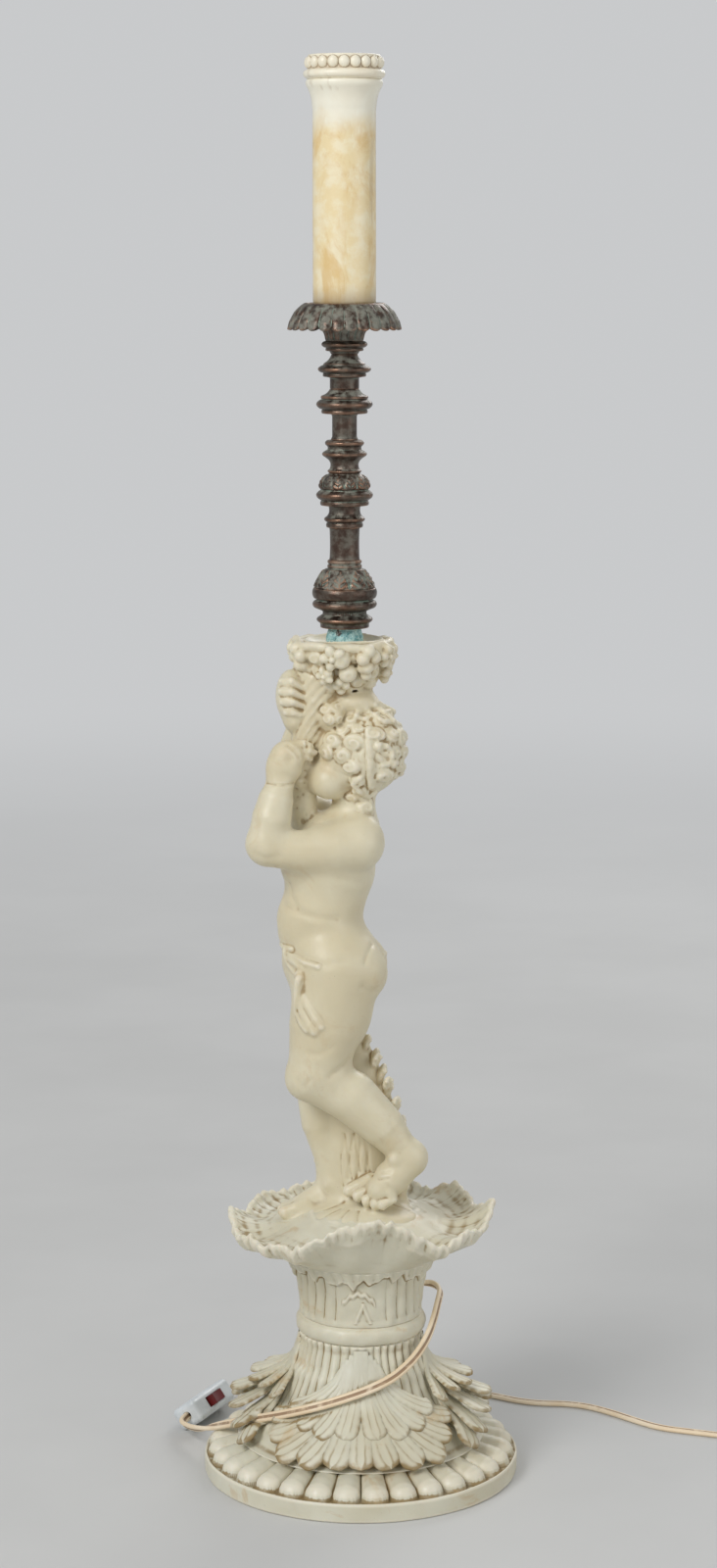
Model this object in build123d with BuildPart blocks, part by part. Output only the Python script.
from build123d import *
import math
import os

# Figural table lamp: a cast figure with a horn of plenty on a leaf pedestal, a turned metal stem
# with a candle lampholder, and a flat two-core lead with an in-line switch.
# Millimetres, +Z up, origin at the centre of the base on the table. The figure looks towards -X.

os.makedirs("parts", exist_ok=True)

# ---------------------------------------------------------------- driving sizes

# Base and pedestal
plinth_radius = 103.2
plinth_height = 13.0
plinth_recess_radius = 90.0
plinth_recess_depth = 8.0
base_opening_radius = 56.0
gadroon_count = 32
gadroon_radius = 8.2
gadroon_rise = 11.0
gadroon_foot_inset = 12.6
gadroon_length = 15.0
skirt_foot_radius = 81.0
skirt_waist_radius = 47.0
skirt_top_radius = 38.8
skirt_height = 71.0
curled_leaf_azimuths = (15.0, 60.0, 105.0, 150.0)
leaf_tip_radius = 87.0
leaf_tip_height = 21.0
leaf_half_width = 15.0
leaf_thickness = 3.0
band_radius = 43.5
band_height = 12.0
neck_foot_radius = 41.0
neck_top_radius = 45.0
neck_height = 38.0
pedestal_bore_radius = 32.0
tray_radius = 86.0
tray_belly_radius = 74.0
tray_belly_height = 9.0
tray_rim_height = 26.0
tray_wall = 4.0
tray_floor_height = 35.0
tray_mound_radius = 34.0
tray_lobe_count = 8
tray_lobe_radius = 11.0
tray_lobe_phase = 22.5

# Figure
figure_height = 369.0
figure_drawn_height = 369.0
head_half_width = 31.0
head_half_height = 37.5
finger_count = 4
finger_spacing = 6.8
finger_radius = 3.6
capital_radius = 33.0
fruit_count = 11

# Lamp pipe and its hardware
stem_offset = 10.3
pipe_radius = 5.0
pipe_bore_radius = 3.8
pipe_clearance = 0.4
nut_radius = 10.5
nut_height = 5.0
washer_radius = 16.0
washer_thickness = 2.0
pipe_tail = 3.0
coupling_radius = 7.5
coupling_height = 20.0

# Turned stem, from the capital upwards
collar_height = 9.0
foot_height = 25.3
bell_height = 17.5
column_height = 20.6
column_knop_height = 14.0
dome_height = 20.4
spool_height = 20.5
upper_shaft_height = 16.7
upper_knop_height = 15.3
top_knop_height = 21.4
pan_ring_height = 8.3
calyx_height = 19.5
pan_radius = 35.0
pan_drop = 16.5
pan_rim_radius = 25.0
pan_thickness = 3.5

# Candle tube, lampholder
candle_radius = 19.7
candle_bore_radius = 17.2
candle_height = 137.5
candle_flange_radius = 24.0
candle_flare_height = 18.0
candle_collar_height = 15.0
candle_collar_radius = 25.6
candle_bead_count = 20
candle_bead_radius = 2.0
lamp_thread_radius = 13.3
shell_wall = 0.6
shell_length = 22.0
holder_wall = 2.3
holder_floor = 6.0
holder_cap_height = 14.0
holder_boss_radius = 8.0
holder_boss_height = 8.0
holder_top_gap = 3.0
contact_radius = 4.0
contact_thickness = 0.8
screw_radius = 1.5
screw_head_radius = 2.75
screw_head_height = 1.6

# Lead
cord_radius = 3.0
cord_hole_azimuth = 28.0
cord_hole_height = 9.5
bushing_flange_radius = 6.5
bushing_flange_thickness = 2.0
bushing_wall = 1.4
cord_clearance = 0.2
coil_outer_radius = 38.0
coil_pitch = 6.7
coil_layer_height = 6.6
coil_inward_half_turns = 5
coil_outward_half_turns = 4

# In-line switch
switch_length = 52.0
switch_width = 16.0
switch_height = 20.0
switch_wall = 2.0
switch_edge_radius = 3.5
switch_azimuth = 66.0
switch_roll = 36.0
rocker_length = 17.0
rocker_width = 7.0
rocker_proud = 3.0
rocker_pivot_height = 4.5
rocker_pin_radius = 1.5
rocker_half_travel = 10.0
running_clearance = 0.05
part_clearance = 0.3

# Plug
plug_length = 30.0
plug_width = 24.0
plug_thickness = 14.0
blade_length = 16.0
blade_width = 6.3
blade_thickness = 1.5
blade_spacing = 12.7

# ---------------------------------------------------------------- levels and shared planes

skirt_z = plinth_height + gadroon_rise
band_z = skirt_z + skirt_height
neck_z = band_z + band_height
tray_z = neck_z + neck_height
figure_z = tray_z + tray_floor_height
collar_z = figure_z + figure_height
foot_z = collar_z + collar_height
bell_z = foot_z + foot_height
column_z = bell_z + bell_height
column_knop_z = column_z + column_height
dome_z = column_knop_z + column_knop_height
spool_z = dome_z + dome_height
upper_shaft_z = spool_z + spool_height
upper_knop_z = upper_shaft_z + upper_shaft_height
top_knop_z = upper_knop_z + upper_knop_height
pan_ring_z = top_knop_z + top_knop_height
calyx_z = pan_ring_z + pan_ring_height
candle_z = calyx_z + calyx_height + pan_thickness
candle_collar_z = candle_z + candle_height
lamp_top_z = candle_collar_z + candle_collar_height

stem_x = -stem_offset
section_plane = Plane(origin=(0, 0, 0), x_dir=(1, 0, 0), z_dir=(0, -1, 0))
stem_plane = Plane(origin=(stem_x, 0, 0), x_dir=(1, 0, 0), z_dir=(0, -1, 0))
stem_axis = Axis((stem_x, 0, 0), (0, 0, 1))
pipe_hole_radius = pipe_radius + pipe_clearance


def save(piece, label):
    """Name a finished piece and write it under that name."""
    piece.part.label = label
    export_step(piece.part, f"parts/{label}.step")


figure_share = figure_height / figure_drawn_height


def figure_point(x, y, height):
    """A point of the figure as drawn, its height counted from the ground it stands on, moved to
    the figure's real size about the stem axis."""
    return Vector(stem_x + (x - stem_x) * figure_share, y * figure_share,
                  figure_z + height * figure_share)


def limb(*joints):
    """Join a rounded, tapering limb to the current part, through (centre, radius) joints."""
    for centre, radius in joints:
        with Locations(centre):
            Sphere(radius)
    for (start, start_radius), (end, end_radius) in zip(joints, joints[1:]):
        along = end - start
        with Locations(Plane(origin=start, z_dir=along)):
            if abs(start_radius - end_radius) < 0.01:
                Cylinder(start_radius, along.length, align=(Align.CENTER, Align.CENTER, Align.MIN))
            else:
                Cone(start_radius, end_radius, along.length,
                     align=(Align.CENTER, Align.CENTER, Align.MIN))


def figure_limb(*joints):
    """Limb of the figure through joints as drawn, each (x, y, height, radius)."""
    limb(*((figure_point(x, y, height), radius * figure_share) for x, y, height, radius in joints))


def oval_loft(sections):
    """Loft through level ovals, each (height on the figure, centre x, centre y, half x, half y)."""
    ovals = []
    for height, centre_x, centre_y, half_x, half_y in sections:
        with BuildSketch(Plane(origin=figure_point(centre_x, centre_y, height))) as oval:
            Ellipse(half_x * figure_share, half_y * figure_share)
        ovals.append(oval.sketch)
    loft(sections=ovals)


def turned(base_z, height, outline, bore):
    """Turned piece on the stem axis; the outline holds (radius, share of the height, bulge to the
    next point), a bulge outwards being positive."""
    points = [(radius, base_z + share * height, bulge) for radius, share, bulge in outline]
    with BuildPart() as piece:
        with BuildSketch(stem_plane):
            with BuildLine():
                for (r0, z0, bulge), (r1, z1, _) in zip(points, points[1:]):
                    if bulge:
                        SagittaArc((r0, z0), (r1, z1), -bulge)
                    else:
                        Line((r0, z0), (r1, z1))
                Polyline((points[-1][0], points[-1][1]), (bore, points[-1][1]),
                         (bore, points[0][1]), (points[0][0], points[0][1]))
            make_face()
        revolve(axis=stem_axis)
    return piece


def stem_cylinder(radius, base_z, height):
    """Cylinder on the stem axis, added to the current part or cut from it by its caller."""
    return Cylinder(radius, height, align=(Align.CENTER, Align.CENTER, Align.MIN),
                    mode=Mode.PRIVATE).locate(Location((stem_x, 0, base_z)))


pipe_passage = stem_cylinder(pipe_hole_radius, 0, lamp_top_z)


# ---------------------------------------------------------------- base and pedestal

def make_plinth():
    """Round foot with a ring of gadroons, hollow underneath."""
    foot_centre = Vector(plinth_radius - gadroon_foot_inset, 0, plinth_height)
    top_centre = foot_centre + Vector(-gadroon_length, 0, gadroon_rise - gadroon_radius + 2.0)
    with BuildPart() as gadroon:
        limb((foot_centre, gadroon_radius), (top_centre, gadroon_radius - 1.2))
    ledge_radius = plinth_radius - gadroon_foot_inset + 2.0
    with BuildPart() as plinth:
        with BuildSketch(section_plane):
            with BuildLine():
                Polyline((plinth_recess_radius, 0), (plinth_radius, 0),
                         (plinth_radius, plinth_height - 0.8), (plinth_radius - 0.8, plinth_height),
                         (ledge_radius, plinth_height), (skirt_foot_radius - 2.0, skirt_z),
                         (base_opening_radius, skirt_z), (base_opening_radius, plinth_recess_depth),
                         (plinth_recess_radius, plinth_recess_depth), close=True)
            make_face()
        revolve(axis=Axis.Z)
        with PolarLocations(0, gadroon_count):
            add(gadroon.part)
        with Locations((0, 0, skirt_z)):
            Cylinder(plinth_radius, gadroon_radius * 2, mode=Mode.SUBTRACT,
                     align=(Align.CENTER, Align.CENTER, Align.MIN))
    return plinth


def make_skirt():
    """Flaring acanthus skirt with its leaf tips curling out, hollow for the lead."""
    wall = 9.0
    waist_z = skirt_z + 0.68 * skirt_height
    lip_z = skirt_z + 7.0
    with BuildPart() as leaf:
        with BuildSketch(section_plane):
            with BuildLine():
                high = (skirt_waist_radius + 2.0, waist_z - 4.0)
                tip = (leaf_tip_radius, skirt_z + leaf_tip_height)
                under_tip = (leaf_tip_radius, skirt_z + leaf_tip_height - leaf_thickness)
                low = (skirt_waist_radius + 9.0, lip_z + 8.0)
                SagittaArc(high, tip, -6.0)
                Line(tip, under_tip)
                SagittaArc(under_tip, low, 3.0)
                Line(low, high)
            make_face()
        extrude(amount=leaf_half_width, both=True)
        with BuildSketch(Plane.XY.offset(skirt_z)):
            with Locations((skirt_waist_radius + 4.0, 0)):
                Ellipse(leaf_tip_radius - skirt_waist_radius - 4.0, leaf_half_width)
        extrude(amount=skirt_height, mode=Mode.INTERSECT)
    with BuildPart() as skirt:
        with BuildSketch(section_plane):
            with BuildLine():
                Polyline((skirt_foot_radius - wall, skirt_z), (skirt_foot_radius, skirt_z),
                         (skirt_foot_radius, skirt_z + 3.0), (skirt_foot_radius - 6.0, lip_z))
                SagittaArc((skirt_foot_radius - 6.0, lip_z), (skirt_waist_radius, waist_z), 3.5)
                SagittaArc((skirt_waist_radius, waist_z), (skirt_top_radius, band_z - 3.0), 1.0)
                Polyline((skirt_top_radius, band_z - 3.0), (skirt_top_radius, band_z),
                         (pedestal_bore_radius, band_z), (skirt_waist_radius - wall, waist_z),
                         (skirt_foot_radius - wall, skirt_z))
            make_face()
        revolve(axis=Axis.Z)
        for azimuth in curled_leaf_azimuths:
            with Locations(Rotation(0, 0, azimuth)):
                add(leaf.part)
    return skirt


def make_band():
    """Half-round ring between skirt and neck."""
    with BuildPart() as band:
        with BuildSketch(section_plane):
            with BuildLine():
                inner = band_radius - band_height / 2
                Line((pedestal_bore_radius, band_z), (inner, band_z))
                SagittaArc((inner, band_z), (inner, neck_z), -band_height / 2 * 0.98)
                Polyline((inner, neck_z), (pedestal_bore_radius, neck_z),
                         (pedestal_bore_radius, band_z))
            make_face()
        revolve(axis=Axis.Z)
    return band


# The lead's way out of the neck runs level from the pipe axis.
hole_z = neck_z + cord_hole_height
hole_direction = Vector(math.cos(math.radians(cord_hole_azimuth)),
                        math.sin(math.radians(cord_hole_azimuth)), 0)
hole_start = Vector(stem_x, 0, hole_z)
hole_plane = Plane(origin=hole_start, z_dir=hole_direction)
wall_radius = neck_foot_radius + (neck_top_radius - neck_foot_radius) * cord_hole_height / neck_height
side_reach = stem_offset * math.sin(math.radians(cord_hole_azimuth))
hole_reach = (stem_offset * math.cos(math.radians(cord_hole_azimuth))
              + math.sqrt(wall_radius ** 2 - side_reach ** 2))
inner_reach = (stem_offset * math.cos(math.radians(cord_hole_azimuth))
               + math.sqrt(pedestal_bore_radius ** 2 - side_reach ** 2))
bushing_bore = cord_radius + cord_clearance
bushing_radius = bushing_bore + bushing_wall


def make_neck():
    """Fluted neck under the tray, hollow, with the hole for the lead."""
    with BuildPart() as neck:
        with BuildSketch(section_plane):
            with BuildLine():
                Line((pedestal_bore_radius, neck_z), (neck_foot_radius, neck_z))
                SagittaArc((neck_foot_radius, neck_z), (neck_top_radius, tray_z), 1.0)
                Polyline((neck_top_radius, tray_z), (pedestal_bore_radius, tray_z),
                         (pedestal_bore_radius, neck_z))
            make_face()
        revolve(axis=Axis.Z)
        with BuildSketch(hole_plane):
            Circle(bushing_radius)
        extrude(amount=hole_reach + neck_top_radius, mode=Mode.SUBTRACT)
        with BuildSketch(hole_plane.offset(hole_reach - 0.5)):
            Circle(bushing_flange_radius + part_clearance)
        extrude(amount=neck_top_radius, mode=Mode.SUBTRACT)
    return neck


def make_bushing():
    """Flanged bush that guards the lead where it leaves the neck."""
    with BuildPart() as bushing:
        with BuildSketch(hole_plane.offset(inner_reach)):
            Circle(bushing_radius - running_clearance)
        extrude(amount=hole_reach - 0.5 - inner_reach)
        with BuildSketch(hole_plane.offset(hole_reach - 0.5)):
            Circle(bushing_flange_radius)
        extrude(amount=bushing_flange_thickness)
        with BuildSketch(hole_plane):
            Circle(bushing_bore)
        extrude(amount=hole_reach + neck_top_radius, mode=Mode.SUBTRACT)
    return bushing


def make_tray():
    """Dished tray of leaves; its lobed rim turns up and its middle is a mound for the figure."""
    rim_z = tray_z + tray_rim_height
    with BuildPart() as tray:
        with BuildSketch(section_plane):
            with BuildLine():
                Line((0, tray_z), (neck_top_radius, tray_z))
                SagittaArc((neck_top_radius, tray_z),
                           (tray_belly_radius, tray_z + tray_belly_height), 2.0)
                SagittaArc((tray_belly_radius, tray_z + tray_belly_height), (tray_radius, rim_z), -2.0)
                Line((tray_radius, rim_z), (tray_radius - tray_wall, rim_z))
                SagittaArc((tray_radius - tray_wall, rim_z),
                           (tray_mound_radius * 1.8, figure_z - 13.0), -3.0)
                SagittaArc((tray_mound_radius * 1.8, figure_z - 13.0),
                           (tray_mound_radius, figure_z - 1.5), 1.5)
                Polyline((tray_mound_radius, figure_z - 1.5), (0, figure_z), (0, tray_z))
            make_face()
        revolve(axis=Axis.Z)
        with PolarLocations(tray_radius - tray_wall, tray_lobe_count, start_angle=tray_lobe_phase):
            with Locations((0, 0, rim_z - 2.0)):
                Cylinder(tray_lobe_radius, tray_wall)
        add(pipe_passage, mode=Mode.SUBTRACT)
    return tray


plinth = make_plinth()
save(plinth, "base_plinth")
skirt = make_skirt()
save(skirt, "acanthus_skirt")
band = make_band()
save(band, "neck_band")
neck = make_neck()
save(neck, "pedestal_neck")
bushing = make_bushing()
save(bushing, "cord_bushing")
tray = make_tray()
save(tray, "leaf_tray")


# ---------------------------------------------------------------- figure

def make_body():
    """Torso, hips and both legs, cast in one."""
    with BuildPart() as body:
        oval_loft([
            (256, -12, 0, 16, 18),
            (245, -14, 0, 26, 28),
            (230, -17, 0, 30, 30),
            (215, -21, 0, 30, 28),
            (200, -23, 0, 27, 26),
            (188, -25.5, 0, 27.5, 27),
            (175, -20, 0, 32, 29),
            (158, -17, 0, 34, 31),
            (140, -19.5, 0, 28, 28),
            (128, -20, 0, 22, 22),
        ])
        # near leg: thigh, bent knee, shin going back, raised heel, toes on the ground
        figure_limb((-17, -12, 148, 24), (-23, -16, 110, 22),
                    (-32, -18, 82, 16.5), (-3, -18, 67, 17.5),
                    (15, -18, 48, 15), (26, -20, 36, 11.5))
        figure_limb((33, -20, 31, 9.5), (20, -22, 19, 10.5),
                    (9, -24, 10, 9.5), (-4, -26, 7, 6))
        # far leg: straight, its foot pointing forward
        figure_limb((-20, 14, 148, 24), (-24, 14, 110, 20),
                    (-28, 11, 75, 15), (-25, 9, 52, 14),
                    (-20, 7, 20, 10), (-22, 4, 8, 9.5),
                    (-38, -2, 3, 8.0), (-50, -6, -1, 6.0))
        add(tray.part, mode=Mode.SUBTRACT)
        add(pipe_passage, mode=Mode.SUBTRACT)
    return body


def make_support():
    """Leafy stump behind the legs that carries the figure's weight round the pipe."""
    with BuildPart() as support:
        oval_loft([
            (-12, 3, 9.3, 31.5, 23.1),
            (35, 2, 8.3, 27.3, 18.9),
            (65, 0, 7.3, 25.2, 17.85),
            (90, -3, 6.3, 18.9, 14.7),
            (112, -1, 6.3, 8.4, 8.4),
        ])
        add(body.part, mode=Mode.SUBTRACT)
        add(tray.part, mode=Mode.SUBTRACT)
        add(pipe_passage, mode=Mode.SUBTRACT)
    return support


def make_head():
    """Head thrown back under thick curls, with its neck."""
    with BuildPart() as head:
        with BuildSketch(Plane(origin=figure_point(-1, -2, 295.5), x_dir=(1, 0, 0),
                               z_dir=(0, -1, 0))):
            Ellipse(head_half_width * figure_share, head_half_height * figure_share)
            Rectangle(head_half_width * 3, head_half_height * 3, align=(Align.MAX, Align.CENTER),
                      mode=Mode.SUBTRACT)
        revolve(axis=Axis(figure_point(-1, -2, 295.5), (0, 0, 1)))
        figure_limb((-18, -6, 282, 15), (-12, -4, 300, 17))
        figure_limb((-8, 0, 252, 14), (-4, 0, 275, 14))
        add(body.part, mode=Mode.SUBTRACT)
        add(pipe_passage, mode=Mode.SUBTRACT)
    return head


def make_near_arm():
    """Near arm: upper arm level, forearm raised to the horn, hand spread under it."""
    with BuildPart() as arm:
        figure_limb((1, -16, 234, 17), (-35, -22, 233, 13.5),
                    (-61, -23, 233, 12.8), (-57.5, -23, 260, 12.3),
                    (-52, -20, 279, 9.8))
        figure_limb((-52, -20, 279, 9.8), (-49, -16, 290, 11),
                    (-46, -12, 299, 8.5))
        for cut in (body, head):
            add(cut.part, mode=Mode.SUBTRACT)
        add(pipe_passage, mode=Mode.SUBTRACT)
    return arm


def make_horn():
    """Horn of plenty: its tail behind the near arm, its mouth under the fruit."""
    with BuildPart() as horn:
        figure_limb((-36, -2, 258, 7), (-38, -1, 290, 10.5),
                    (-35, 0, 322, 14), (-30, 0, 336, 18.5))
        for cut in (body, head, near_arm):
            add(cut.part, mode=Mode.SUBTRACT)
        add(pipe_passage, mode=Mode.SUBTRACT)
    return horn


def make_far_arm():
    """Far arm, reaching up behind the horn; four fingers come round its side."""
    with BuildPart() as arm:
        figure_limb((-8, 20, 238, 16), (-32, 30, 252, 13),
                    (-50, 32, 268, 11.5), (-50, 22, 300, 9.5),
                    (-46, 14, 318, 9), (-45, 8, 334, 8))
        for step in range(finger_count):
            height = 342 - finger_spacing * step
            figure_limb((-49.5, 4, height, finger_radius + 0.5),
                        (-50.5, -4, height, finger_radius),
                        (-43.5, -12, height - 1, finger_radius - 0.3))
        for cut in (body, head, near_arm, horn):
            add(cut.part, mode=Mode.SUBTRACT)
        add(pipe_passage, mode=Mode.SUBTRACT)
    return arm


def make_capital():
    """Fruit and flowers heaped round a dish that carries the stem."""
    dish_z = collar_z - 4.0
    rim_z = collar_z + 2.0
    with BuildPart() as capital:
        with BuildSketch(stem_plane):
            with BuildLine():
                Polyline((0, dish_z - 29.0), (11, dish_z - 29.0), (23, dish_z - 19.0),
                         (29, dish_z - 9.0), (capital_radius, rim_z), (capital_radius - 4.0, rim_z),
                         (capital_radius - 9.0, dish_z), (16, dish_z), (13, collar_z),
                         (0, collar_z), close=True)
            make_face()
        revolve(axis=stem_axis)
        for turn in range(fruit_count):
            angle = math.tau * turn / fruit_count
            for reach, height, radius in ((26.5, -6.5, 8.0), (20.5, -16.0, 7.5)):
                swing = angle + (math.pi / fruit_count if radius < 8.0 else 0.0)
                with Locations((stem_x + reach * math.cos(swing), reach * math.sin(swing),
                                dish_z + height)):
                    Sphere(radius)
        with Locations((stem_x, 0, rim_z)):
            Cylinder(capital_radius * 2, 20.0, align=(Align.CENTER, Align.CENTER, Align.MIN),
                     mode=Mode.SUBTRACT)
        for cut in (head, near_arm, horn, far_arm):
            add(cut.part, mode=Mode.SUBTRACT)
        add(pipe_passage, mode=Mode.SUBTRACT)
    return capital


def make_loincloth():
    """Twisted cloth round the hips with its end hanging over the near thigh."""
    with BuildPart() as cloth:
        with BuildSketch(Plane(origin=figure_point(-18, 0, 162), z_dir=(0.12, 0.1, 1))):
            Ellipse(35.5 * figure_share, 33.5 * figure_share)
            Ellipse(29 * figure_share, 27 * figure_share, mode=Mode.SUBTRACT)
        extrude(amount=6 * figure_share, both=True)
        figure_limb((-43, -26, 152, 6.5), (-40, -33, 132, 7),
                    (-33, -37, 114, 6))
        add(body.part, mode=Mode.SUBTRACT)
        add(near_arm.part, mode=Mode.SUBTRACT)
    return cloth


body = make_body()
save(body, "figure_body")
support = make_support()
save(support, "leaf_stump")
head = make_head()
save(head, "figure_head")
near_arm = make_near_arm()
save(near_arm, "near_arm")
horn = make_horn()
save(horn, "cornucopia")
far_arm = make_far_arm()
save(far_arm, "far_arm")
capital = make_capital()
save(capital, "fruit_capital")
loincloth = make_loincloth()
save(loincloth, "loincloth")


# ---------------------------------------------------------------- turned stem

collar = turned(collar_z, collar_height, [
    (11.8, 0, 0), (11.8, 0.3, 0), (10.3, 0.9, 0), (11.0, 1, 0)], pipe_hole_radius)
save(collar, "stem_collar")

stem_foot = turned(foot_z, foot_height, [
    (15.5, 0, 0), (15.5, 0.10, 0), (15.9, 0.12, 2.0), (15.9, 0.28, 0), (14.0, 0.33, 0),
    (14.0, 0.42, 0), (19.2, 0.50, 1.3), (19.2, 0.67, 0), (19.6, 0.735, 1.0), (19.6, 1, 0)],
    pipe_hole_radius)
save(stem_foot, "stem_foot")

bell = turned(bell_z, bell_height, [
    (19.0, 0, 0.6), (12.8, 0.66, 0), (10.5, 0.69, 0), (10.5, 1, 0)], pipe_hole_radius)
save(bell, "stem_bell")

column = turned(column_z, column_height, [(9.5, 0, 0), (9.5, 1, 0)], pipe_hole_radius)
save(column, "stem_column")

column_knop = turned(column_knop_z, column_knop_height, [
    (11.4, 0, 0), (11.4, 0.20, 0), (11.2, 0.23, 1.8), (11.2, 0.50, 0), (10.1, 0.62, 0),
    (10.1, 0.95, 0), (11.0, 1, 0)], pipe_hole_radius)
save(column_knop, "column_knop")

dome = turned(dome_z, dome_height, [
    (15.2, 0, 0), (15.2, 0.14, 2.8), (15.2, 0.47, 0), (15.9, 0.52, 2.0), (10.0, 0.97, 0),
    (10.0, 1, 0)], pipe_hole_radius)
save(dome, "stem_dome")

spool = turned(spool_z, spool_height, [
    (9.8, 0, 1.0), (9.8, 0.10, 0), (9.3, 0.13, -1.2), (11.5, 0.45, 0), (12.3, 0.48, 1.9),
    (12.3, 0.67, 0), (11.3, 0.72, 0), (11.3, 0.79, 0), (11.0, 0.82, 1.4), (11.0, 1, 0)],
    pipe_hole_radius)
save(spool, "stem_spool")

upper_shaft = turned(upper_shaft_z, upper_shaft_height, [
    (8.6, 0, 0), (7.8, 0.12, 0), (7.8, 0.90, -0.3), (9.5, 1, 0)], pipe_hole_radius)
save(upper_shaft, "upper_shaft")

upper_knop = turned(upper_knop_z, upper_knop_height, [
    (14.3, 0, 0), (14.3, 0.15, 0), (15.4, 0.19, 2.4), (15.4, 0.56, 0), (14.7, 0.60, 0),
    (14.7, 0.72, -0.8), (9.2, 1, 0)], pipe_hole_radius)
save(upper_knop, "upper_knop")

top_knop = turned(top_knop_z, top_knop_height, [
    (9.2, 0, 0), (9.2, 0.32, 0), (13.6, 0.36, 0), (13.6, 0.45, 0), (14.8, 0.48, 2.0),
    (14.8, 0.67, 0), (13.2, 0.74, -0.8), (8.3, 1, 0)], pipe_hole_radius)
save(top_knop, "top_knop")

pan_ring = turned(pan_ring_z, pan_ring_height, [
    (8.3, 0, 0), (9.5, 0.25, 0), (11.9, 0.28, 0), (11.9, 0.50, 0), (12.8, 0.53, 1.7),
    (12.8, 1, 0)], pipe_hole_radius)
save(pan_ring, "pan_ring")

calyx = turned(calyx_z, calyx_height, [
    (11.9, 0, -1.0), (14.7, 0.40, -1.0), (21.0, 1, 0)], pipe_hole_radius)
save(calyx, "calyx")


def make_pan():
    """Drip pan: a flat rim the candle stands on and a skirt falling outwards from it."""
    disc_z = candle_z - pan_thickness
    edge_z = candle_z - pan_drop
    skirt_wall = 2.2
    with BuildPart() as pan:
        with BuildSketch(stem_plane):
            with BuildLine():
                Line((pipe_hole_radius, disc_z), (pan_rim_radius - skirt_wall, disc_z))
                SagittaArc((pan_rim_radius - skirt_wall, disc_z),
                           (pan_radius - skirt_wall, edge_z), 1.5)
                Line((pan_radius - skirt_wall, edge_z), (pan_radius, edge_z))
                SagittaArc((pan_radius, edge_z), (pan_rim_radius, candle_z), -1.5)
                Polyline((pan_rim_radius, candle_z), (pipe_hole_radius, candle_z),
                         (pipe_hole_radius, disc_z))
            make_face()
        revolve(axis=stem_axis)
    return pan


pan = make_pan()
save(pan, "drip_pan")

# ---------------------------------------------------------------- candle tube and collar

flare_share = 1 - candle_flare_height / candle_height
candle = turned(candle_z, candle_height, [
    (candle_radius, 0, 0), (candle_radius, flare_share, 0),
    (candle_radius + 1.3, flare_share + 0.06, -0.6), (candle_flange_radius, 0.985, 0),
    (candle_flange_radius, 1, 0)], candle_bore_radius)
save(candle, "candle_tube")

shell_radius = lamp_thread_radius + shell_wall
holder_radius = shell_radius + holder_wall
holder_top_z = lamp_top_z - holder_top_gap
shell_z = holder_top_z - shell_length
holder_floor_z = shell_z - 1.0
holder_z = holder_floor_z - holder_floor
holder_cap_z = holder_z - holder_cap_height
boss_z = holder_cap_z - holder_boss_height


def make_candle_collar():
    """Beaded collar that closes the candle's mouth round the lampholder."""
    lip_height = 2.6
    with BuildPart() as collar_ring:
        with BuildSketch(stem_plane):
            with BuildLine():
                Line((lamp_thread_radius + 1.1, candle_collar_z),
                     (candle_collar_radius - 1.2, candle_collar_z))
                SagittaArc((candle_collar_radius - 1.2, candle_collar_z),
                           (candle_collar_radius - 1.2, candle_collar_z + 3.8), -1.2)
                Polyline((candle_collar_radius - 1.2, candle_collar_z + 3.8),
                         (candle_collar_radius - 3.1, candle_collar_z + 4.4),
                         (candle_collar_radius - 3.1, candle_collar_z + 8.6),
                         (candle_collar_radius - 2.0, candle_collar_z + 9.2),
                         (candle_collar_radius - 2.0, lamp_top_z - 0.8),
                         (candle_collar_radius - 2.8, lamp_top_z),
                         (lamp_thread_radius + 1.1, lamp_top_z),
                         (lamp_thread_radius + 1.1, candle_collar_z))
            make_face()
        revolve(axis=stem_axis)
        bead_ring = Locations((stem_x, 0, candle_collar_z + 6.5))
        with bead_ring:
            with PolarLocations(candle_collar_radius - 3.1, candle_bead_count):
                Sphere(candle_bead_radius)
        with Locations((stem_x, 0, candle_collar_z)):
            Cylinder(holder_radius + part_clearance, lamp_top_z - lip_height - candle_collar_z,
                     align=(Align.CENTER, Align.CENTER, Align.MIN), mode=Mode.SUBTRACT)
    return collar_ring


candle_collar = make_candle_collar()
save(candle_collar, "candle_collar")

# ---------------------------------------------------------------- lamp pipe and fastenings

nut_z = tray_z - washer_thickness - nut_height
pipe_foot_z = nut_z - pipe_tail
coupling_z = candle_z + nut_height + 1.0
pipe_joint_z = coupling_z + coupling_height / 2
pipe_top_z = holder_cap_z + 5.0


def stem_tube(base_z, top_z, outer, inner):
    """Plain tube on the stem axis."""
    with BuildPart() as tube:
        with BuildSketch(Plane(origin=(stem_x, 0, base_z))):
            Circle(outer)
            Circle(inner, mode=Mode.SUBTRACT)
        extrude(amount=top_z - base_z)
    return tube


def hex_nut(base_z):
    """Thin hexagon nut that runs on the lamp pipe."""
    with BuildPart() as nut:
        with BuildSketch(Plane(origin=(stem_x, 0, base_z))):
            RegularPolygon(nut_radius, 6)
            Circle(pipe_radius + running_clearance, mode=Mode.SUBTRACT)
        extrude(amount=nut_height)
    return nut


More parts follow.
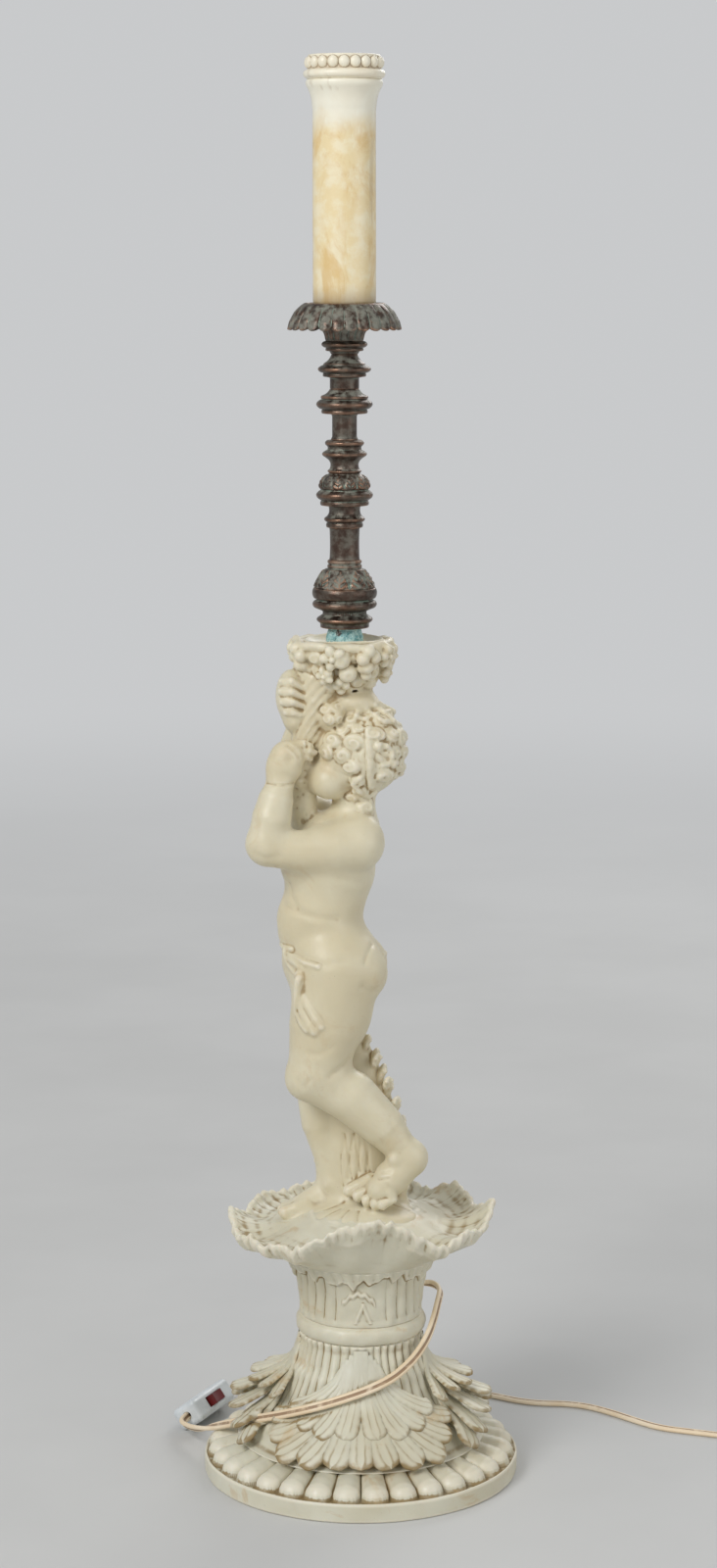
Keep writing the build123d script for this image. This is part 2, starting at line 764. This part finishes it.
lower_pipe = stem_tube(pipe_foot_z, pipe_joint_z, pipe_radius, pipe_bore_radius)
save(lower_pipe, "lower_pipe")
upper_pipe = stem_tube(pipe_joint_z, pipe_top_z, pipe_radius, pipe_bore_radius)
save(upper_pipe, "upper_pipe")
pipe_coupling = stem_tube(coupling_z, coupling_z + coupling_height, coupling_radius,
                          pipe_radius + running_clearance)
save(pipe_coupling, "pipe_coupling")
base_washer = stem_tube(tray_z - washer_thickness, tray_z, washer_radius,
                        pipe_radius + running_clearance)
save(base_washer, "base_washer")
base_nut = hex_nut(nut_z)
save(base_nut, "base_nut")
top_nut = hex_nut(candle_z)
save(top_nut, "top_nut")

# ---------------------------------------------------------------- lampholder

terminal_reach = 9.0


def make_holder_cap():
    """Cup under the lampholder, screwed on the end of the pipe."""
    with BuildPart() as cap:
        with BuildSketch(Plane(origin=(stem_x, 0, boss_z))):
            Circle(holder_boss_radius)
        extrude(amount=holder_boss_height)
        with BuildSketch(Plane(origin=(stem_x, 0, holder_cap_z))):
            Circle(holder_radius)
        extrude(amount=holder_cap_height)
        with BuildSketch(Plane(origin=(stem_x, 0, holder_cap_z + 2.0))):
            Circle(holder_radius - 1.5)
        extrude(amount=holder_cap_height, mode=Mode.SUBTRACT)
        with BuildSketch(Plane(origin=(stem_x, 0, boss_z))):
            Circle(pipe_radius + running_clearance)
        extrude(amount=holder_cap_height, mode=Mode.SUBTRACT)
    return cap


def make_holder_body():
    """Insulating body of the lampholder, a cup with two terminal holes in its floor."""
    with BuildPart() as holder:
        with BuildSketch(Plane(origin=(stem_x, 0, holder_z))):
            Circle(holder_radius)
        extrude(amount=holder_top_z - holder_z)
        with BuildSketch(Plane(origin=(stem_x, 0, holder_floor_z))):
            Circle(shell_radius + running_clearance)
        extrude(amount=holder_top_z - holder_floor_z, mode=Mode.SUBTRACT)
        with BuildSketch(Plane(origin=(stem_x, 0, holder_z))):
            with Locations((-terminal_reach, 0), (terminal_reach, 0)):
                Circle(screw_radius + running_clearance)
        extrude(amount=holder_floor, mode=Mode.SUBTRACT)
    return holder


def make_terminal_screws():
    """The lampholder's two terminal screws, heads down."""
    with BuildPart() as screws:
        with BuildSketch(Plane(origin=(stem_x, 0, holder_z - screw_head_height))):
            with Locations((-terminal_reach, 0), (terminal_reach, 0)):
                Circle(screw_head_radius)
        extrude(amount=screw_head_height)
        with BuildSketch(Plane(origin=(stem_x, 0, holder_z))):
            with Locations((-terminal_reach, 0), (terminal_reach, 0)):
                Circle(screw_radius)
        extrude(amount=holder_floor - 0.5)
    return screws


holder_cap = make_holder_cap()
save(holder_cap, "lampholder_cap")
holder_body = make_holder_body()
save(holder_body, "lampholder_body")
terminal_screws = make_terminal_screws()
save(terminal_screws, "lampholder_screws")
lamp_shell = stem_tube(shell_z, holder_top_z, shell_radius, lamp_thread_radius)
save(lamp_shell, "lamp_screw_shell")
centre_contact = stem_tube(holder_floor_z, holder_floor_z + contact_thickness, contact_radius, 0.6)
save(centre_contact, "centre_contact")

# ---------------------------------------------------------------- in-line switch

switch_along = Vector(math.cos(math.radians(switch_azimuth)),
                      math.sin(math.radians(switch_azimuth)), 0)
switch_side = Vector(math.sin(math.radians(switch_azimuth)),
                     -math.cos(math.radians(switch_azimuth)), 0)
roll = math.radians(switch_roll)
switch_face = switch_side * math.cos(roll) + Vector(0, 0, math.sin(roll))
switch_centre_height = (switch_edge_radius
                        + (switch_width / 2 - switch_edge_radius) * math.cos(roll)
                        + (switch_height / 2 - switch_edge_radius) * math.sin(roll))
switch_near_end = Vector(-118.0, 61.0, switch_centre_height)
switch_centre = switch_near_end + switch_along * (switch_length / 2)
switch_far_end = switch_near_end + switch_along * switch_length
switch_plane = Plane(origin=switch_centre, x_dir=switch_along, z_dir=switch_face)
rocker_slot_length = rocker_length + 4.0
terminal_height = -4.0
switch_screw_reach = 17.0
switch_screw_height = -3.0


def switch_point(x, y, z):
    """A point in the switch: x along the lead, y across the joint, z out of the rocker's face."""
    return switch_plane.from_local_coords(Vector(x, y, z))


def make_switch_case():
    """Whole switch case before it is split along the lead into two halves."""
    boss_radius = rocker_pin_radius + 1.5
    boss_reach = rocker_width / 2 + 2 * part_clearance
    with BuildPart(switch_plane) as case:
        Box(switch_length, switch_width, switch_height)
        fillet(case.edges(), switch_edge_radius)
        Box(switch_length - 2 * switch_wall, switch_width - 2 * switch_wall,
            switch_height - 2 * switch_wall, mode=Mode.SUBTRACT)
        for side in (-1, 1):
            with BuildSketch(Plane(origin=switch_point(0, side * boss_reach, rocker_pivot_height),
                                   z_dir=switch_plane.y_dir * side)):
                Circle(boss_radius)
            extrude(amount=switch_width / 2 - switch_wall - boss_reach + 0.5)
            for reach in (-switch_screw_reach, switch_screw_reach):
                with BuildSketch(Plane(origin=switch_point(reach, 0, switch_screw_height),
                                       z_dir=switch_plane.y_dir * side)):
                    Circle(screw_radius + 1.6)
                extrude(amount=switch_width / 2 - switch_wall + 0.5)
        with Locations((0, 0, switch_height / 2)):
            Box(rocker_slot_length, rocker_width + 2 * part_clearance, switch_height / 2,
                mode=Mode.SUBTRACT)
        with BuildSketch(Plane(origin=switch_point(0, 0, rocker_pivot_height),
                               z_dir=switch_plane.y_dir)):
            Circle(rocker_pin_radius + running_clearance)
        extrude(amount=switch_width / 2 - switch_wall / 2, both=True, mode=Mode.SUBTRACT)
        for end, inwards in ((switch_near_end, switch_along), (switch_far_end, -switch_along)):
            with BuildSketch(Plane(origin=end, z_dir=inwards)):
                Circle(cord_radius + cord_clearance)
            extrude(amount=switch_wall + 0.5, mode=Mode.SUBTRACT)
        for reach in (-switch_screw_reach, switch_screw_reach):
            with BuildSketch(Plane(origin=switch_point(reach, -switch_width / 2 - 1,
                                                       switch_screw_height),
                                   z_dir=switch_plane.y_dir)):
                Circle(screw_radius + running_clearance)
            extrude(amount=switch_width, mode=Mode.SUBTRACT)
            with BuildSketch(Plane(origin=switch_point(reach, -switch_width / 2 - 1,
                                                       switch_screw_height),
                                   z_dir=switch_plane.y_dir)):
                Circle(screw_head_radius + running_clearance)
            extrude(amount=1 + screw_head_height, mode=Mode.SUBTRACT)
    return case


def switch_half(keep):
    """One of the two mating halves of the case."""
    with BuildPart() as half:
        add(switch_case.part)
        split(bisect_by=Plane(origin=switch_centre, z_dir=switch_plane.y_dir), keep=keep)
    return half


def rocker_plane():
    """The rocker's own plane at its pivot, tilted half the travel to the off side."""
    tilt = math.radians(rocker_half_travel)
    along = switch_along * math.cos(tilt) - switch_face * math.sin(tilt)
    return Plane(origin=switch_point(0, 0, rocker_pivot_height), x_dir=along,
                 z_dir=-switch_plane.y_dir)


def make_rocker():
    """Rocker with its pivot pin, resting in the off position."""
    tilt = rocker_plane()
    top = switch_height / 2 - rocker_pivot_height + rocker_proud
    with BuildPart() as rocker:
        with BuildSketch(tilt):
            with BuildLine():
                Polyline((-rocker_length / 2, top), (-rocker_length / 2 + 1.0, 0.5), (-3.0, -3.0),
                         (3.0, -3.0), (rocker_length / 2 - 1.0, 0.5), (rocker_length / 2, top))
                ThreePointArc((rocker_length / 2, top), (0, top - 2.2), (-rocker_length / 2, top))
            make_face()
        extrude(amount=rocker_width / 2, both=True)
        with BuildSketch(tilt):
            Circle(rocker_pin_radius)
        extrude(amount=switch_width / 2 - switch_wall / 2 - 0.4, both=True)
    return rocker


def make_rocker_contact():
    """Contact bridge carried under the rocker."""
    with BuildPart() as bridge:
        with BuildSketch(rocker_plane()):
            with Locations((0, -3.0 - blade_thickness / 4)):
                Rectangle(13.0, blade_thickness / 2)
        extrude(amount=2.0, both=True)
    return bridge


def make_switch_terminals():
    """Two fixed contacts, one for each end of the lead."""
    foot_z = -switch_height / 2 + switch_wall
    with BuildPart(switch_plane) as terminals:
        for side in (-1, 1):
            with Locations((side * 11.0, 0, foot_z)):
                Box(3.0, 5.0, terminal_height - foot_z, align=(Align.CENTER, Align.CENTER, Align.MIN))
    return terminals


def make_switch_screws():
    """Two screws that hold the halves of the case together."""
    with BuildPart() as screws:
        for reach in (-switch_screw_reach, switch_screw_reach):
            head = Plane(origin=switch_point(reach, -switch_width / 2, switch_screw_height),
                         z_dir=switch_plane.y_dir)
            with BuildSketch(head):
                Circle(screw_head_radius)
            extrude(amount=screw_head_height)
            with BuildSketch(head):
                Circle(screw_radius)
            extrude(amount=switch_width - 3.0)
    return screws


switch_case = make_switch_case()
switch_upper = switch_half(Keep.TOP)
save(switch_upper, "switch_upper_half")
switch_lower = switch_half(Keep.BOTTOM)
save(switch_lower, "switch_lower_half")
rocker = make_rocker()
save(rocker, "switch_rocker")
rocker_contact = make_rocker_contact()
save(rocker_contact, "switch_contact_bridge")
switch_terminals = make_switch_terminals()
save(switch_terminals, "switch_terminals")
switch_screws = make_switch_screws()
save(switch_screws, "switch_screws")

# ---------------------------------------------------------------- lead

cord_exit = hole_start + hole_direction * (hole_reach - 0.5 + bushing_flange_thickness)
floor_z = cord_radius
coil_entry = Vector(302.0, 42.0, floor_z)
coil_x = coil_entry.X

front_route = [
    cord_exit,
    cord_exit + hole_direction * 11.0,
    Vector(53.5, 19.0, 115.0),
    Vector(51.0, 5.0, 110.5),
    Vector(48.5, -7.0, 104.5),
    Vector(45.0, -16.5, 96.5),
    Vector(40.0, -26.0, 90.0),
    Vector(32.0, -36.0, 82.5),
    Vector(17.0, -50.0, 74.5),
    Vector(-14.0, -56.5, 64.5),
    Vector(-46.5, -45.5, 52.0),
    Vector(-76.5, -16.0, 36.5),
    Vector(-97.5, 12.0, 22.0),
    Vector(-108.5, 27.0, 14.5),
    Vector(-117.5, 41.0, 11.5),
    switch_near_end - switch_along * 9.5,
    switch_near_end + switch_along * (switch_wall + 1.5),
]

back_route = [
    switch_far_end - switch_along * (switch_wall + 1.5),
    switch_far_end + switch_along * 9.0,
    Vector(-85.0, 126.5, 6.0),
    Vector(-68.0, 135.0, floor_z),
    Vector(-38.0, 141.0, floor_z),
    Vector(0.0, 143.5, floor_z),
    Vector(35.0, 141.0, floor_z),
    Vector(65.0, 136.0, floor_z),
    Vector(91.0, 130.0, floor_z),
    Vector(108.5, 118.0, floor_z),
    Vector(125.0, 112.5, floor_z),
    Vector(142.0, 112.0, floor_z),
    Vector(158.0, 106.5, floor_z),
    Vector(173.5, 94.0, floor_z),
    Vector(188.5, 78.5, floor_z),
    Vector(203.5, 64.5, floor_z),
    Vector(224.0, 57.0, floor_z),
    Vector(243.0, 50.5, floor_z),
    Vector(262.0, 45.0, floor_z),
    Vector(281.0, 42.0, floor_z),
    coil_entry - Vector(2 * cord_radius, 0, 0),
]

inner_route = [
    Vector(stem_x, 0, holder_z - 1.0),
    Vector(stem_x, 0, hole_z),
    cord_exit,
]


def corner_radii(points):
    """Largest arcs that the runs beside each corner allow."""
    radii = []
    for before, corner, after in zip(points, points[1:], points[2:]):
        run_in = corner - before
        run_out = after - corner
        half_turn = math.radians(run_in.get_angle(run_out)) / 2
        radii.append(0.45 * min(run_in.length, run_out.length) / math.tan(half_turn))
    return radii


def cord_tube(name, points, radii):
    """Tube along straight runs joined by arcs; prints its least radius and its volume."""
    with BuildPart() as tube:
        with BuildLine() as path:
            FilletPolyline(*points, radius=radii)
        with BuildSketch(Plane(origin=points[0], z_dir=points[1] - points[0])):
            Circle(cord_radius)
        sweep(path=path.line)
    length = path.wires()[0].length
    share = tube.part.volume / (math.pi * cord_radius ** 2 * length)
    print(f"{name}: length {length:.1f}, radii {[round(r, 1) for r in radii]},"
          f" volume share {share:.4f}")
    return tube, length


def coil_path_arcs():
    """Half turns of the put-away coil: in along the floor, up one layer, out again.

    Each entry is (centre y, radius, side, start height, end height); side 1 turns on the far
    side of the line of centres, which runs along Y through the coil's entry.
    """
    radius = coil_outer_radius
    centre_y = coil_entry.Y + radius
    side = 1
    half_turns = [(centre_y, radius, side, floor_z, floor_z)]
    climbed = floor_z + coil_layer_height
    for turn in range(1, coil_inward_half_turns + 1 + coil_outward_half_turns):
        step = coil_pitch / 2 if turn <= coil_inward_half_turns else -coil_pitch / 2
        radius -= step
        centre_y += step if side == 1 else -step
        side = -side
        low = floor_z if turn <= coil_inward_half_turns else climbed
        high = climbed if turn == coil_inward_half_turns else low
        half_turns.append((centre_y, radius, side, low, high))
    return half_turns


def make_coil():
    """Put-away length of the lead, one unbroken tube in two layers of turns."""
    lead = Vector(2 * cord_radius, 0, 0)
    arcs = coil_path_arcs()
    samples = []
    with BuildPart() as coil:
        with BuildLine() as path:
            Line(coil_entry - lead, coil_entry)
            for centre_y, radius, side, low, high in arcs:
                start = Vector(coil_x, centre_y - side * radius, low)
                end = Vector(coil_x, centre_y + side * radius, high)
                heading = Vector(side, 0, 0)
                rise = high - low
                crown = math.hypot(radius, rise / 2)
                middle = Vector(coil_x + side * crown, centre_y, (low + high) / 2)
                first = TangentArc(start, middle, tangent=heading)
                TangentArc(middle, end, tangent=first % 1)
            last_y = arcs[-1][0] + arcs[-1][2] * arcs[-1][1]
            out = Vector(coil_x, last_y, arcs[-1][4])
            Line(out, out + Vector(-arcs[-1][2] * 2 * cord_radius, 0, 0))
        with BuildSketch(Plane(origin=coil_entry - lead, z_dir=(1, 0, 0))):
            Circle(cord_radius)
        sweep(path=path.line)
    route = path.wires()[0]
    length = route.length
    count = 900
    for index in range(count + 1):
        samples.append(route @ (index / count))
    apart = int(count * 4 * cord_radius / length * 1.5) + 1
    least = min((a - b).length for i, a in enumerate(samples) for b in samples[i + apart:])
    print(f"coil: length {length:.1f}, least gap to itself {least - 2 * cord_radius:.2f}")
    return coil, length, out + Vector(-arcs[-1][2] * 2 * cord_radius, 0, 0)


coil, coil_length, coil_exit = make_coil()
plug_z = plug_thickness / 2
plug_entry = Vector(coil_exit.X + 48.0, coil_exit.Y - 3.0, plug_z)
tail_route = [
    coil_exit,
    coil_exit + Vector(15.0, 0, 0),
    coil_exit + Vector(31.0, -2.0, -1.6),
    plug_entry + Vector(-6.0, 0, 0),
    plug_entry,
]

inner_cord, inner_length = cord_tube("inner cord", inner_route, [17.0])
save(inner_cord, "inner_cord")
front_cord, front_length = cord_tube("front lead", front_route, corner_radii(front_route))
save(front_cord, "cord_to_switch")
back_cord, back_length = cord_tube("back lead", back_route, corner_radii(back_route))
save(back_cord, "cord_behind_base")
save(coil, "cord_coil")
tail_cord, tail_length = cord_tube("tail", tail_route, corner_radii(tail_route))
save(tail_cord, "cord_tail")
print(f"free lead in all: {front_length + back_length + coil_length + tail_length:.0f} mm")

# ---------------------------------------------------------------- plug

blade_root = 8.0


def make_plug_blades():
    """Two flat blades, set into the plug body."""
    with BuildPart() as blades:
        with BuildSketch(Plane(origin=plug_entry + Vector(plug_length - blade_root, 0, 0),
                               x_dir=(0, 1, 0), z_dir=(1, 0, 0))):
            with Locations((-blade_spacing / 2, 0), (blade_spacing / 2, 0)):
                Rectangle(blade_thickness, blade_width)
        extrude(amount=blade_root + blade_length)
    return blades


def make_plug_body():
    """Moulded plug body, narrowing to where the lead enters."""
    collar_length = 8.0
    with BuildPart() as body_of_plug:
        with BuildSketch(Plane(origin=plug_entry, x_dir=(0, 1, 0), z_dir=(1, 0, 0))):
            RectangleRounded(cord_radius * 2 + 4.0, cord_radius * 2 + 3.0, 3.0)
        with BuildSketch(Plane(origin=plug_entry + Vector(collar_length, 0, 0), x_dir=(0, 1, 0),
                               z_dir=(1, 0, 0))):
            RectangleRounded(plug_width - 3.0, plug_thickness - 1.0, 4.0)
        loft(ruled=True)
        with BuildSketch(Plane(origin=plug_entry + Vector(collar_length, 0, 0), x_dir=(0, 1, 0),
                               z_dir=(1, 0, 0))):
            RectangleRounded(plug_width, plug_thickness, 4.0)
        extrude(amount=plug_length - collar_length)
        add(plug_blades.part, mode=Mode.SUBTRACT)
    return body_of_plug


plug_blades = make_plug_blades()
save(plug_blades, "plug_blades")
plug_body = make_plug_body()
save(plug_body, "plug_body")
